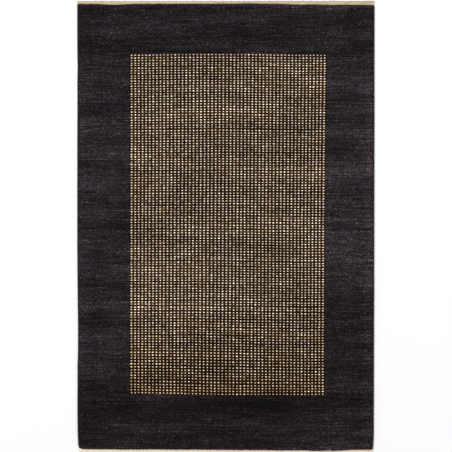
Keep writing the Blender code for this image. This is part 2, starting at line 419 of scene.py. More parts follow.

# The cotton: its tones and grime, a brown stain with painted shade and painted light beside the
# pile, and painted shade in its grooves and on its trimmed threads.
COTTON_TONES = (0.15, 0.8)
COTTON_TONE_CHANCE = 0.35
COTTON_TONE_DRIFT = 1.1
COTTON_TONE_START = -0.2
THREADS_ALIKE = 0.02
GRIME_SPOTS = (0.55, 0.8)
GRIME_STRENGTH = 0.4
STAIN_AND_SHADE_REACH = (0.0, 3.0)
WEFT_GROOVE = (0.28, 0.50)
WARP_GROOVE = (0.34, 0.50)
WARP_GROOVE_DEPTH = 0.7
GROOVE_SHADE = 0.34
PAINTED_LIGHT_REACH = (0.0, 3.5)
PAINTED_LIGHT_BY_PILE = 0.33
LOOSE_THREADS = 0.5
LOOSE_THREAD_SHADE = 0.11
COTTON_CONTRAST = 0.74
COTTON_LIGHTNESS = 0.64
COTTON_FIBRE_RELIEF = 0.4


def rim_sides():
    """The mat's outline on the floor as its foot, right, head and left sides, from its mesh.

    Each corner is the point that is furthest out diagonally. Each side has its points in order
    along it, and runs from corner to corner.
    """
    mesh = bpy.data.objects["knotted_pile"].data
    points = np.array([vert.co for vert in mesh.vertices])
    on_floor = points[:, 2] < ON_FLOOR
    in_middle = np.hypot(points[:, 0], points[:, 1]) < PILE_HIGH.x / 2
    rim = points[on_floor & ~in_middle][:, :2]
    rim = rim[np.argsort(np.arctan2(rim[:, 1], rim[:, 0]))]
    foot_left = np.argmin(rim[:, 0] + rim[:, 1])
    rim = np.roll(rim, -foot_left, axis=0)
    foot_right = np.argmax(rim[:, 0] - rim[:, 1])
    head_right = np.argmax(rim[:, 0] + rim[:, 1])
    head_left = np.argmin(rim[:, 0] - rim[:, 1])
    foot = rim[: foot_right + 1]
    right = rim[foot_right : head_right + 1]
    head = rim[head_right : head_left + 1][::-1]
    left = np.vstack([rim[head_left:], rim[:1]])[::-1]
    return foot, right, head, left


FOOT_RIM, RIGHT_RIM, HEAD_RIM, LEFT_RIM = rim_sides()


def left_x(y):
    return np.interp(y, LEFT_RIM[:, 1], LEFT_RIM[:, 0])


def right_x(y):
    return np.interp(y, RIGHT_RIM[:, 1], RIGHT_RIM[:, 0])


def foot_y(x):
    return np.interp(x, FOOT_RIM[:, 0], FOOT_RIM[:, 1])


def head_y(x):
    return np.interp(x, HEAD_RIM[:, 0], HEAD_RIM[:, 1])


def between_places(table, places, at):
    """Each row of a table, interpolated at places across its named columns."""
    order = np.argsort(places)
    ordered = np.array(places)[order]
    return np.array([np.interp(at, ordered, np.array(row[1:])[order]) for row in table])


def between_stops(stops, places, at):
    """Interpolates between stops, where each point has its own place for every stop."""
    low = np.clip(np.searchsorted(stops, at, side="right") - 1, 0, len(stops) - 2)
    share = (at - stops[low]) / (stops[low + 1] - stops[low])
    every = np.arange(len(at))
    return places[low, every] * (1 - share) + places[low + 1, every] * share


def knot_grid(columns, rows):
    """World x and y of knots, with rows counted from the head.

    A knot's x depends on its y and the other way round, so they are worked out in turns.
    """
    numbers = [KNOTS_BEFORE_FIELD + DOT_MIDDLE + CELL * dots.number for dots in DOT_COLUMN_X]
    column_stops = np.array([0, *numbers, KNOTS_ACROSS - 1])
    numbers = [ROWS_BEFORE_FIELD + DOT_MIDDLE + CELL * dots.number for dots in DOT_ROW_Y]
    row_stops = np.array([0, *numbers, KNOTS_ALONG - 1])
    column_of = np.repeat(columns, len(rows)).astype(float)
    row_of = np.tile(rows, len(columns)).astype(float)
    x = np.interp(column_of, [0, KNOTS_ACROSS - 1], [PILE_LOW.x, PILE_HIGH.x])
    for _ in range(3):
        inner = between_places(DOT_ROW_Y, ROW_PLACES, x)
        y = between_stops(row_stops, np.vstack([head_y(x), inner, foot_y(x)]), row_of)
        inner = between_places(DOT_COLUMN_X, COLUMN_PLACES, y)
        x = between_stops(column_stops, np.vstack([left_x(y), inner, right_x(y)]), column_of)
    shape = (len(columns), len(rows))
    return x.reshape(shape), y.reshape(shape)


def drape_height():
    """A function that gives the height of the frame's pile at a point."""
    tree = BVHTree.FromObject(
        bpy.data.objects["knotted_pile"], bpy.context.evaluated_depsgraph_get()
    )
    top = PILE_HIGH.z + ABOVE_PILE

    def height(x, y):
        hit = tree.ray_cast(Vector((x, y, top)), Vector((0, 0, -1)))[0]
        return hit.z if hit else FLOOR

    return height


pile_height = drape_height()


def quad_places(columns, rows):
    """The column and row at which each quad of a grid starts."""
    i, j = np.meshgrid(np.arange(columns - 1), np.arange(rows - 1), indexing="ij")
    return i.ravel(), j.ravel()


def grid_faces(columns, rows):
    """Quads over a grid whose points run along its rows first."""
    i, j = quad_places(columns, rows)
    first = i * rows + j
    return np.stack([first, first + 1, first + rows + 1, first + rows], axis=1)


def fold_uvs(columns, rows, folds):
    """Places on a square map for a long grid: its rows in equal sections laid side by side."""
    i, j = quad_places(columns, rows)
    length = math.ceil((rows - 1) / folds)
    fold = j // length
    width = 1.0 / folds - FOLD_MARGIN
    corners = []
    for step_i, step_j in QUAD_CORNERS:
        across = (i + step_i) / (columns - 1) * width + fold / folds + FOLD_MARGIN / 2
        along = (j + step_j - fold * length) / length * (1 - FOLD_MARGIN) + FOLD_MARGIN / 2
        corners.append(np.stack([across, along], axis=1))
    return np.stack(corners, axis=1)


def strip_uvs(columns, rows):
    """Places on a square map for a strip: its columns in equal sections, one above another."""
    i, j = quad_places(columns, rows)
    length = math.ceil((columns - 1) / WEB_FOLDS)
    fold = i // length
    end_margin = (1 - WEB_MAP_LENGTH) / 2
    edge_margin = (1 - WEB_MAP_BREADTH) / 2
    corners = []
    for step_i, step_j in QUAD_CORNERS:
        along = (i + step_i - fold * length) / length * WEB_MAP_LENGTH + end_margin
        across = (j + step_j) / (rows - 1) * WEB_MAP_BREADTH + fold + edge_margin
        corners.append(np.stack([along, across / WEB_FOLDS], axis=1))
    return np.stack(corners, axis=1)


def tile_uvs(count, columns, rows):
    """One small tile of the square map for each of many like grids."""
    across = math.ceil(math.sqrt(count))
    base = fold_uvs(columns, rows, 1) * TILE_SHARE + (1 - TILE_SHARE) / 2
    number = np.arange(count)
    corner = np.stack([number % across, number // across], axis=1) / across
    return (base[None] / across + corner[:, None, None, :]).reshape(-1, 4, 2)


def mesh_object(name, points, faces, uvs, smooth=True):
    """A mesh object from arrays: points, quads and, for each quad's corner, a place on its map."""
    mesh = bpy.data.meshes.new(name)
    mesh.vertices.add(len(points))
    mesh.vertices.foreach_set("co", np.asarray(points, dtype=np.float32).ravel())
    mesh.loops.add(faces.size)
    mesh.loops.foreach_set("vertex_index", faces.astype(np.int32).ravel())
    mesh.polygons.add(len(faces))
    mesh.polygons.foreach_set("loop_start", np.arange(0, faces.size, 4, dtype=np.int32))
    mesh.update(calc_edges=True)
    mesh.validate()
    layer = mesh.uv_layers.new(name="OFBake")
    layer.uv.foreach_set("vector", np.asarray(uvs, dtype=np.float32).ravel())
    if smooth:
        mesh.shade_smooth()
    made = bpy.data.objects.new(name, mesh)
    bpy.context.scene.collection.objects.link(made)
    return made


def give_attribute(obj, name, *parts):
    """Stores a vector with these parts for each point, for the material to read."""
    values = np.stack(parts, axis=-1)
    data = obj.data.attributes.new(name, "FLOAT_VECTOR", "POINT")
    data.data.foreach_set("vector", np.asarray(values, dtype=np.float32).ravel())


class Value:
    """One socket of a material, on which arithmetic builds the nodes that work it out."""

    def __init__(self, tree, socket):
        self.tree = tree
        self.socket = socket

    def node(self, kind, settings=(), links=(), output=0):
        """Adds a node: its settings first, and then a value or a link for each named socket."""
        made = self.tree.nodes.new(kind)
        for name, setting in dict(settings).items():
            setattr(made, name, setting)
        for name, value in dict(links).items():
            if isinstance(value, Value):
                self.tree.links.new(value.socket, made.inputs[name])
            else:
                made.inputs[name].default_value = value
        return Value(self.tree, made.outputs[output])

    def math(self, operation, *others):
        values = dict(enumerate((self, *others)))
        return self.node("ShaderNodeMath", {"operation": operation}, values)

    def __add__(self, other):
        return self.math("ADD", other)

    def __sub__(self, other):
        return self.math("SUBTRACT", other)

    def __mul__(self, other):
        return self.math("MULTIPLY", other)

    def __truediv__(self, other):
        return self.math("DIVIDE", other)

    def __rsub__(self, other):
        return self.node("ShaderNodeMath", {"operation": "SUBTRACT"}, {0: other, 1: self})

    __radd__ = __add__
    __rmul__ = __mul__

    def floor(self):
        return self.math("FLOOR")

    def absolute(self):
        return self.math("ABSOLUTE")

    def wrapped(self, size):
        return self.math("FLOORED_MODULO", size)

    def off_middle(self):
        """How far this is from the middle of its whole step, from -0.5 to 0.5."""
        return self.wrapped(1.0) - 0.5

    def over(self, limit):
        return self.math("GREATER_THAN", limit)

    def under(self, limit):
        return self.math("LESS_THAN", limit)

    def larger(self, other):
        return self.math("MAXIMUM", other)

    def to_power(self, power):
        return self.math("POWER", power)

    def doublings(self):
        """The factor that this many doublings make."""
        return self.node("ShaderNodeMath", {"operation": "POWER"}, {0: 2.0, 1: self})

    def ramp(self, low, high):
        """0 at low, 1 at high, and smooth between them."""
        return self.node(
            "ShaderNodeMapRange",
            {"interpolation_type": "SMOOTHSTEP"},
            {"Value": self, "From Min": low, "From Max": high},
        )

    def band(self, low, high, edge):
        """1 between two places, 0 outside them, and smooth over an edge at both."""
        return self.ramp(low - edge, low + edge) - self.ramp(high - edge, high + edge)

    def vector(self, y, z=0.0):
        return self.node("ShaderNodeCombineXYZ", (), {"X": self, "Y": y, "Z": z})

    def vector_math(self, operation, other):
        return self.node("ShaderNodeVectorMath", {"operation": operation}, {0: self, 1: other})

    def parts(self):
        made = self.node("ShaderNodeSeparateXYZ", (), {"Vector": self})
        outputs = made.socket.node.outputs
        return [Value(self.tree, outputs[i]) for i in range(3)]

    def attribute(self, name):
        """The vector that the mesh's points store under a name."""
        return self.node("ShaderNodeAttribute", {"attribute_name": name}, output=1)

    def chance(self, seed, output=0):
        """A different number from 0 to 1 at each whole place of a vector. Output 1 gives three."""
        shifted = self.vector_math("ADD", (0, 0, seed))
        settings = {"noise_dimensions": "3D"}
        return self.node("ShaderNodeTexWhiteNoise", settings, {"Vector": shifted}, output)

    def noise(self, grain, output=0):
        """Smooth noise about 0.5, as fine as a grain says. Output 1 gives three such numbers."""
        scaled = self.vector_math("MULTIPLY", (grain.across, grain.along, grain.between))
        detail, roughness = grain.detail, grain.roughness
        return self.node(
            "ShaderNodeTexNoise",
            {"noise_dimensions": "3D"},
            {"Vector": scaled, "Scale": 1.0, "Detail": detail, "Roughness": roughness},
            output,
        )

    def mix(self, low, high):
        """A colour between two others, at this share."""
        return self.node(
            "ShaderNodeMix", {"data_type": "RGBA"}, {0: self, 6: low, 7: high}, output=2
        )

    def tinted(self, amount):
        """This colour made darker or lighter by a factor."""
        return self.node(
            "ShaderNodeMix",
            {"data_type": "RGBA", "blend_type": "MULTIPLY"},
            {0: 1.0, 6: self, 7: amount.vector(amount, amount)},
            output=2,
        )


def new_material(name, roughness, gloss=FIBRE_GLOSS, sheen=FIBRE_SHEEN):
    """A material, its shader, and a value to start its arithmetic from."""
    material = bpy.data.materials.new(name)
    material.use_nodes = True
    tree = material.node_tree
    shader = tree.nodes["Principled BSDF"]
    shader.inputs["Roughness"].default_value = roughness
    shader.inputs["Specular IOR Level"].default_value = gloss
    shader.inputs["Sheen Weight"].default_value = sheen
    shader.inputs["Sheen Roughness"].default_value = SHEEN_ROUGHNESS
    return material, shader, Value(tree, None)


def finish_material(shader, paint, height, depth):
    """Links a colour and a relief to a shader."""
    links = {"Height": height, "Distance": depth, "Strength": 1.0}
    bump = height.node("ShaderNodeBump", (), links)
    paint.tree.links.new(paint.socket, shader.inputs["Base Color"])
    paint.tree.links.new(bump.socket, shader.inputs["Normal"])


def dye_patches(patches, u, v):
    """The shade that broad patches of dye add at a knot."""
    shade = 0.0
    for patch in patches:
        across = u.band(patch.first_knot, patch.last_knot, patch.edge)
        along = v.band(patch.first_row, patch.last_row, patch.edge)
        shade = across * along * patch.shade + shade
    return shade


class KnottedWool:
    """The wool at a point of the pattern: its knot, its dot, and how they took the dye."""

    def __init__(self, knots, wander):
        self.knots = knots
        self.u, self.v, _ = knots.parts()
        fuzz_u, fuzz_v, _ = knots.noise(FUZZ, output=1).parts()
        self.knot_u = self.u + (fuzz_u - 0.5) * (wander * KNOT_WANDER) + 0.5
        self.knot_v = self.v + (fuzz_v - 0.5) * (wander * KNOT_WANDER) + 0.5
        self.knot = self.knot_u.floor().vector(self.knot_v.floor())
        self.near_foot = self.v.ramp(*NEAR_FOOT)
        self.at_right = self.u.ramp(*RIGHT_SIDE)
        self.find_dot(self.u + (fuzz_u - 0.5) * wander, self.v + (fuzz_v - 0.5) * wander)
        self.find_dye()

    def find_dot(self, ragged_u, ragged_v):
        """Which dot's cell this is, and where it lies in or beyond the dot's light patch."""
        field_u = (ragged_u - (KNOTS_BEFORE_FIELD - 0.5)) / CELL
        field_v = (ragged_v - (ROWS_BEFORE_FIELD - 0.5)) / CELL
        inside = field_u.over(0.0) * field_u.under(DOT_COLUMNS)
        self.inside = inside * field_v.over(0.0) * field_v.under(DOT_ROWS)
        self.dot = field_u.floor().vector(field_v.floor())
        slip_u, slip_v, plump = self.dot.chance(0.0, output=1).parts()
        off_u = field_u.off_middle() * CELL + (slip_u - 0.5) * DOT_SLIP
        off_v = field_v.off_middle() * CELL + (slip_v - 0.5) * DOT_SLIP
        off_v = off_v + off_u * (slip_u - slip_v) * DOT_SLANT
        lost = self.near_foot * DOT_REACH_LOST_NEAR_FOOT
        reach = plump * DOT_REACH_CHANCE + DOT_REACH - lost
        across = (off_u.absolute() / DOT_BREADTH).to_power(DOT_SQUARENESS)
        along = (off_v.absolute() / DOT_HEIGHT).to_power(DOT_SQUARENESS)
        self.rim = (across + along).to_power(1.0 / DOT_SQUARENESS) - reach
        self.light = self.inside * (1.0 - self.rim.ramp(-DOT_SOFTNESS, DOT_SOFTNESS))

    def find_dye(self):
        """How the dye took: each row is streaky, and whole batches of rows differ."""
        streak = self.knots.noise(STREAK) - 0.5
        batch = self.knots.noise(BATCH) - 0.5
        lane = self.knots.noise(LANE) - 0.5
        self.melange = self.knot.chance(MELANGE_SEED) - 0.5
        row = self.knot.vector_math("MULTIPLY", (0.0, 1.0, 0.0))
        self.row_dye = row.chance(ROW_SEED) - 0.5
        shade = streak * STREAK_SHADE + batch * BATCH_SHADE + self.melange * MELANGE_SHADE
        self.shade = shade + self.row_dye * ROW_SHADE + lane * LANE_SHADE + WHOLE_SHADE
        self.patches = dye_patches(WHOLE_PATCHES, self.u, self.v)
        self.field_patches = self.patches * FIELD_SHARE_OF_PATCHES
        self.hue = self.knots.noise(HUE)

    def border(self):
        """The plain border: charcoal between blue and brown, with grey flecks and pale hairs."""
        ends = 1.0 - self.v.ramp(*HEAD_BORDER) * (1.0 - self.v.ramp(*FOOT_BORDER))
        shade = self.shade + self.patches + dye_patches(BORDER_PATCHES, self.u, self.v)
        shade = shade + self.at_right * RIGHT_SIDE_SHADE
        shade = shade + self.v.ramp(*FOOT_DYE) * FOOT_SHADE + ends * ENDS_SHADE
        browner = self.near_foot * BROWNER_NEAR_FOOT + self.at_right * BROWNER_AT_RIGHT + BROWNER
        wool = (self.hue + browner).ramp(*BORDER_HUES).mix(CHARCOAL_BLUE, CHARCOAL_BROWN)
        fleck = self.knot.chance(FLECK_SEED).over(FLECKS_OVER)
        hairy = self.at_right * HAIRIER_AT_RIGHT + self.near_foot * HAIRIER_NEAR_FOOT
        hair = self.knots.noise(PALE_HAIR).ramp(*HAIRS) * (hairy + HAIR_STRENGTH)
        pale = (fleck * FLECK_STRENGTH).larger(hair)
        return pale.mix(wool, GREY_FLECK).tinted(shade.doublings())

    def ground(self):
        """The field's dark ground: plum, rust and olive, and a rusty halo round each dot."""
        rusty = self.hue + self.near_foot * RUSTIER_NEAR_FOOT
        wool = rusty.ramp(*GROUND_HUES).mix(FIELD_PLUM, FIELD_RUST)
        green = GREEN_STRENGTH - self.near_foot * LESS_GREEN_NEAR_FOOT
        wool = (self.knots.noise(GREENNESS).ramp(*GREENS) * green).mix(wool, FIELD_OLIVE)
        shade = self.shade + self.field_patches
        shade = shade - self.near_foot * GROUND_SHADE_LOST_NEAR_FOOT + GROUND_SHADE
        halo = self.inside * (1.0 - self.rim.ramp(*HALO_REACH))
        return (halo * HALO_STRENGTH).mix(wool.tinted(shade.doublings()), RUST_HALO)

    def yarn(self):
        """A dot's light yarn: ivory to camel, and golden or rusty at its edge."""
        gold = self.dot.chance(GOLD_SEED) * GOLD_CHANCE + self.knots.noise(YARN_LOT) * GOLD_OF_LOT
        gold = gold + self.row_dye * GOLD_OF_ROW + GOLD_START + self.near_foot * GOLD_NEAR_FOOT
        wool = gold.ramp(*GOLDS).mix(IVORY, CAMEL)
        edge = (self.near_foot * RUST_EDGE_NEAR_FOOT).mix(DOT_EDGE, RUST_EDGE)
        wool = (self.rim.ramp(*DOT_EDGE_REACH) * DOT_EDGE_STRENGTH).mix(wool, edge)
        shade = self.dot.chance(DOT_SHADE_SEED) * YARN_SHADE_CHANCE + YARN_SHADE_START
        shade = shade + self.shade * YARN_SHARE_OF_SHADE + self.near_foot * YARN_SHADE_NEAR_FOOT
        lower = self.v.ramp(*LOWER_FIELD) * YARN_SHADE_IN_LOWER_FIELD
        return wool.tinted((shade + self.field_patches + lower).doublings())

    def paint(self):
        """The dyed wool's colour, before the painted shade of the gaps between knots."""
        wool = self.inside.mix(self.border(), self.ground())
        at_ends = (1.0 - self.v.ramp(*FIRST_ROWS)) + self.v.ramp(*LAST_ROWS)
        wool = (at_ends * END_BROWN_SHARE).mix(wool, END_BROWN)
        return self.light.mix(wool, self.yarn())

    def gap(self):
        """How much painted shade the gaps between knots put on the wool. It shows less in light
        wool.
        """
        gap_u = self.knot_u.off_middle().absolute().ramp(*KNOT_GAP)
        gap_v = self.knot_v.off_middle().absolute().ramp(*KNOT_GAP)
        return gap_u.larger(gap_v) * (GAP_SHADE - self.light * GAP_SHADE_LOST_IN_DOTS)

    def dome(self):
        """The round top of each knot: 1 at its middle, and less towards its corners."""
        in_u = (self.u + 0.5).off_middle()
        in_v = (self.v + 0.5).off_middle()
        return 1.0 - (in_u * in_u + in_v * in_v) * DOME_ROUNDNESS


def knot_wool(name, crisp=False, depth=1.0):
    """Dyed wool in knots. The pattern of light dots on dark is worked out knot by knot.

    On the cut side the tufts have blurred into each other, and on the back each knot shows crisply.
    """
    material, shader, start = new_material(name, WOOL_ROUGHNESS)
    wool = KnottedWool(start.attribute("knots"), BACK_WANDER if crisp else CUT_WANDER)
    fibre = wool.knots.noise(WOOL_FIBRE)
    # Painted shade in the gaps between knots. Depth darkens all of it, and for the end row that is
    # deeper dye and painted shade.
    tone = (fibre * FIBRE_CONTRAST + FIBRE_LIGHTNESS) * (KNOT_LIGHTNESS - wool.gap()) * depth
    height = wool.dome()
    if not crisp:
        height = height * CUT_DOME + fibre * CUT_FIBRE + wool.melange * CUT_MELANGE
    finish_material(shader, wool.paint().tinted(tone), height, KNOT_RELIEF)
    return material


def cord_wool():
    """Dark wool wound tightly round the edge warps."""
    material, shader, start = new_material("overcast_wool_wraps", WRAP_ROUGHNESS)
    place = start.attribute("wraps")
    _, wrap, _ = place.parts()
    tone = wrap.floor().vector(0.0).chance(WRAP_SEED) * WRAP_TONE_CHANCE
    tone = tone + place.noise(WRAP_TONE) * WRAP_TONE_DRIFT + WRAP_TONE_START
    wool = tone.ramp(*WRAP_TONES).mix(WRAP_DARK, WRAP_PALE)
    strand = place.noise(WRAP_FIBRE)
    wool = wool.tinted(strand * WRAP_CONTRAST + WRAP_LIGHTNESS)
    finish_material(shader, wool, strand, STRAND_RELIEF)
    return material


def cotton(name, dull, bright, stain_and_shade):
    """Undyed cotton in threads, greyed where it was handled. Beside the pile it has a brown stain
    with painted shade, and painted light. Its grooves and trimmed threads get painted shade.
    """
    material, shader, start = new_material(name, COTTON_ROUGHNESS)
    place = start.attribute("threads")
    u, v, which = place.parts()
    thread = (v + 0.5).floor().vector((u * THREADS_ALIKE).floor())
    tone = thread.chance(THREAD_SEED) * COTTON_TONE_CHANCE
    tone = tone + place.noise(COTTON_TONE) * COTTON_TONE_DRIFT + COTTON_TONE_START
    yarn = tone.ramp(*COTTON_TONES).mix(dull, bright)
    grime = place.noise(COTTON_GRIME).ramp(*GRIME_SPOTS)
    yarn = (grime * GRIME_STRENGTH).mix(yarn, HANDLED_GREY)
    # Brown beside the pile: a stain with painted shade.
    yarn = ((1.0 - v.ramp(*STAIN_AND_SHADE_REACH)) * stain_and_shade).mix(yarn, ROOT_STAIN_AND_SHADE)
    fibre = place.noise(COTTON_FIBRE)
    weft_groove = v.off_middle().absolute().ramp(*WEFT_GROOVE)
    warp_groove = u.off_middle().absolute().ramp(*WARP_GROOVE) * WARP_GROOVE_DEPTH
    groove = weft_groove.larger(warp_groove)
    # Painted light beside the pile, which makes up for the shade that the pile casts there.
    painted_light_by_pile = 1.0 - v.ramp(*PAINTED_LIGHT_REACH)
    # Painted shade on the trimmed threads, as falls among their bundles.
    loose = which.over(LOOSE_THREADS)
    lightness = fibre * COTTON_CONTRAST + COTTON_LIGHTNESS
    lightness = lightness + painted_light_by_pile * PAINTED_LIGHT_BY_PILE - loose * LOOSE_THREAD_SHADE
    yarn = yarn.tinted(lightness * (1.0 - groove * GROOVE_SHADE))
    finish_material(shader, yarn, fibre * COTTON_FIBRE_RELIEF - groove, STRAND_RELIEF)
    return material


def light_knots(columns, rows):
    """1 where a knot is one of a dot's light ones, and 0 elsewhere."""
    cell_u = (columns - KNOTS_BEFORE_FIELD) / CELL
    cell_v = (rows - ROWS_BEFORE_FIELD) / CELL
    near_u = np.abs((columns - KNOTS_BEFORE_FIELD) % CELL - DOT_MIDDLE) < 1
    near_v = np.abs((rows - ROWS_BEFORE_FIELD) % CELL - DOT_MIDDLE) < 1
    near_u &= (cell_u >= 0) & (cell_u < DOT_COLUMNS)
    near_v &= (cell_v >= 0) & (cell_v < DOT_ROWS)
    return np.outer(near_u, near_v).astype(float)


def uneven_beat(rows):
    """How far each row of knots lies from an even spacing, as hand beating leaves it."""
    rng = np.random.default_rng(BEAT_SEED)
    stops = np.arange(ROWS_BEFORE_FIELD % CELL, KNOTS_ALONG, CELL)
    shifts = rng.normal(0, ROW_BEAT_SPREAD, len(stops))
    return np.interp(rows, stops + DOT_MIDDLE, shifts)


def pile(material):
    """The cut pile: one point for each knot, lifted and shifted as cut tufts are."""
    rng = np.random.default_rng(PILE_SEED)
    columns, rows = np.arange(KNOTS_ACROSS), np.arange(KNOTS_ALONG)
    x, y = knot_grid(columns, rows)
    heights = [pile_height(a, b) for a, b in zip(x.ravel(), y.ravel())]
    heights = np.array(heights).reshape(x.shape)
    inner = np.zeros_like(x)
    inner[1:-1, 1:-1] = 1.0
    y = y + uneven_beat(rows) * inner
    x = x + rng.normal(0, KNOT_PLACE_SPREAD, x.shape) * inner
    y = y + rng.normal(0, KNOT_PLACE_SPREAD, y.shape) * inner
    z = np.maximum(heights, PILE_HIGH.z * LOWEST_SHARE_OF_PILE)
    z = z + rng.normal(0, KNOT_HEIGHT_SPREAD, z.shape)
    z = z + rng.normal(0, ROW_HEIGHT_SPREAD, (1, z.shape[1]))
    z = z + light_knots(columns, rows) * LIGHT_KNOT_LIFT
    made = []
    for band in PILE_BANDS:
        part = slice(band.first, band.last + 1)
        points = np.stack([x[part], y[part], z[part]], axis=2)
        count = band.last - band.first + 1
        u, v = np.meshgrid(columns[part], rows, indexing="ij")
        obj = mesh_object(
            band.name,
            points.reshape(-1, 3),
            grid_faces(count, KNOTS_ALONG),
            fold_uvs(count, KNOTS_ALONG, band.folds),
        )
        give_attribute(obj, "knots", u, v, 0 * u)
        obj.data.materials.append(material)
        made.append(obj)
    return made


def with_rim(grid, lift=0.0):
    """A grid with its border repeated outside it and lifted, for a tray's wall."""
    padded = np.pad(grid, 1, mode="edge")
    padded[0, :] += lift
    padded[-1, :] += lift
    padded[1:-1, 0] += lift
    padded[1:-1, -1] += lift
    return padded


def foundation(material):
    """The rug's back and its sides below the cut pile: a tray whose rim meets the pile's edge."""
    columns = np.unique(np.append(np.arange(0, KNOTS_ACROSS, CELL), KNOTS_ACROSS - 1))
    rows = np.unique(np.append(np.arange(0, KNOTS_ALONG, CELL), KNOTS_ALONG - 1))
    x, y = knot_grid(columns, rows)
    z = np.full(x.shape, BACK_LIFT)
    u, v = np.meshgrid(columns.astype(float), rows.astype(float), indexing="ij")
    wall = PILE_HIGH.z * WALL_SHARE_OF_PILE
    points = np.stack([with_rim(x), with_rim(y), with_rim(z, wall)], axis=2)
    across, along = points.shape[:2]
    faces = grid_faces(across, along)[:, ::-1]
    uvs = fold_uvs(across, along, 1)[:, ::-1]
    obj = mesh_object("foundation_back", points.reshape(-1, 3), faces, uvs, smooth=False)
    give_attribute(obj, "knots", with_rim(u), with_rim(v), with_rim(0 * u))
    obj.data.materials.append(material)
    return obj


def cord_line(side):
    """The middle of each ring of the frame's cord, with its radius, in order along the cord."""
    mesh = bpy.data.objects[f"side_cord_{side}"].data
    points = np.array([vert.co for vert in mesh.vertices])
    points = points[np.argsort(points[:, 1])]
    rings = np.split(points, np.flatnonzero(np.diff(points[:, 1]) > RING_GAP) + 1)
    lows = np.array([ring.min(axis=0) for ring in rings])
    highs = np.array([ring.max(axis=0) for ring in rings])
    return ((lows + highs) / 2)[:, :2], ((highs - lows) / 2)[:, 2]


def overcast_cord(side, material):
    """One side's cord: a tube with a ridge for each turn of wool, slanting as it was wound."""
    rng = np.random.default_rng(CORD_SEEDS[side])
    line, line_radii = cord_line(side)
    travelled = np.append(0, np.cumsum(np.linalg.norm(np.diff(line, axis=0), axis=1)))
    turns = round(travelled[-1] / WRAP_PITCH)
    rings = turns * WRAP_STEPS + 1
    wrap = np.linspace(0, turns, rings)
    distance = travelled[-1] * wrap / turns
    x = np.interp(distance, travelled, line[:, 0])
    y = np.interp(distance, travelled, line[:, 1])
    size = np.interp(distance, travelled, line_radii)
    heading = np.stack([np.gradient(x), np.gradient(y)], axis=1)
    heading /= np.linalg.norm(heading, axis=1, keepdims=True)
    sideways = np.stack([heading[:, 1], -heading[:, 0]], axis=1)
    turn_size = rng.normal(1.0, WRAP_SIZE_SPREAD, turns + 1)
    points = np.zeros((WRAP_SIDES + 1, rings, 3))
    for k in range(WRAP_SIDES + 1):
        angle = (k % WRAP_SIDES) * 2 * math.pi / WRAP_SIDES
        phase = wrap + angle / (2 * math.pi)
        ridge = WRAP_BULGE - WRAP_RELIEF * (0.5 + 0.5 * np.cos(2 * math.pi * phase))
        radius = size * ridge * turn_size[np.clip(phase.astype(int), 0, turns)]
        points[k, :, 0] = x + radius * math.cos(angle) * sideways[:, 0]
        points[k, :, 1] = y + radius * math.cos(angle) * sideways[:, 1]
        points[k, :, 2] = np.maximum(size + radius * math.sin(angle), FLOOR + CORD_LIFT)
    obj = mesh_object(
        f"overcast_cord_{side}",
        points.reshape(-1, 3),
        grid_faces(WRAP_SIDES + 1, rings),
        fold_uvs(WRAP_SIDES + 1, rings, CORD_FOLDS),
    )
    around = np.repeat(np.arange(WRAP_SIDES + 1) / WRAP_SIDES, rings)
    along = np.tile(wrap, WRAP_SIDES + 1) + around
    give_attribute(obj, "wraps", around * WRAP_SIDES, along, 0 * along)
    obj.data.materials.append(material)
    return obj


def strip_span(end):
    """The left and right sides of the frame's strip at an end, and where its web stops."""
    low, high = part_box(f"end_strip_{end.name}")
    tip = high.y if end.outward > 0 else low.y
    return low.x, high.x, tip - end.outward * THREAD_BODY


def web(end, material):
    """The flat-woven strip: wefts across the rug, over and under each warp."""
    rng = np.random.default_rng(end.web_seed)
    left, right, edge = strip_span(end)
    warps = round((right - left) / WARP_PITCH)
    across = np.arange(2 * warps + 1)
    along = np.arange(2 * WEFTS + 1)
    x = left + (right - left) * across / (2 * warps)
    inner = head_y(x) if end.outward > 0 else foot_y(x)
    u, v = np.meshgrid(across, along, indexing="ij")
    share = v / (2 * WEFTS)
    wavy = rng.normal(0, WEB_EDGE_SPREAD, len(across))
    wavy = np.convolve(wavy, WEB_EDGE_WAVE, mode="same")
    y = inner[:, None] * (1 - share) + (edge + wavy[:, None]) * share
    over = np.cos(math.pi * u / 2) * np.cos(math.pi * v / 2)
    ridge = np.abs(np.cos(math.pi * v / 2))
    crown = WEB_CROWN * (1 - (2 * share - 1) ** 2)
    relief = over * WARP_SHARE_OF_RELIEF + ridge - MEAN_RIDGE
    z = WEB_THICKNESS + crown + WEAVE_RELIEF * relief
    z = z + rng.normal(0, WEB_HEIGHT_SPREAD, z.shape)
    points = np.stack([np.repeat(x[:, None], len(along), axis=1), y, z], axis=2)
    skirt_in, skirt_out = points[:, :1].copy(), points[:, -1:].copy()
    skirt_in[:, :, 2] = FLOOR + WEB_LIFT
    skirt_out[:, :, 2] = FLOOR + WEB_LIFT
    points = np.concatenate([skirt_in, points, skirt_out], axis=1)
    columns, rows = points.shape[:2]
    faces = grid_faces(columns, rows)
    uvs = strip_uvs(columns, rows)
    if end.outward > 0:
        faces = faces[:, ::-1]
        uvs = uvs[:, ::-1]
    obj = mesh_object(f"web_{end.name}", points.reshape(-1, 3), faces, uvs)
    weave_u = np.repeat(across[:, None] / 2, rows, axis=1)
    weave_row = np.clip(np.arange(rows) - 1, 0, 2 * WEFTS) / 2
    weave_v = np.repeat(weave_row[None, :], columns, axis=0)
    give_attribute(obj, "threads", weave_u, weave_v, 0 * weave_u)
    obj.data.materials.append(material)
    return obj


